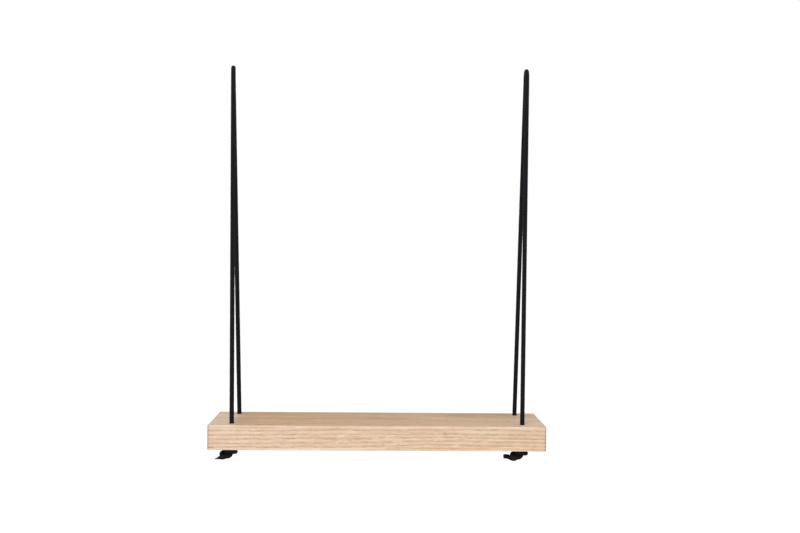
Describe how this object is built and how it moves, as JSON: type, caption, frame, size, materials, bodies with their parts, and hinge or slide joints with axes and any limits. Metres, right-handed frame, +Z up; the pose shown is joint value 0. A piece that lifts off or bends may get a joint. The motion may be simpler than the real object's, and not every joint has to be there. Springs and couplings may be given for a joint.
{
  "type": "hanging rope shelf",
  "caption": "Thick wooden plank shelf hung level from cords that pass through holes near its corners, bend over a hook at each end and stop in knots under the plank.",
  "frame": {"origin": "middle of the line through the two hooks that the cords hang over, at the centres of the cords' top bends", "axes": "+X to the right along the plank, +Z up, -Y to the front"},
  "size_m": [0.6, 0.16, 0.7137],
  "materials": {
    "oak": "fine sanded oak with a matt clear oil",
    "black_cord": "black braided cord, matt"
  },
  "bodies": {
    "hung_ropes": {"left_rope": "black_cord", "right_rope": "black_cord"},
    "plank": {"shelf_plank": "oak", "left_front_knot": "black_cord", "right_front_knot": "black_cord", "left_back_knot": "black_cord", "right_back_knot": "black_cord"}
  },
  "joints": [
    {"name": "swing", "type": "hinge", "parent": "hung_ropes", "child": "plank", "pos_m": [0, 0, 0], "axis": [1, 0, 0], "range_deg": [-15, 15], "deforming": ["left_rope", "right_rope"]}
  ]
}
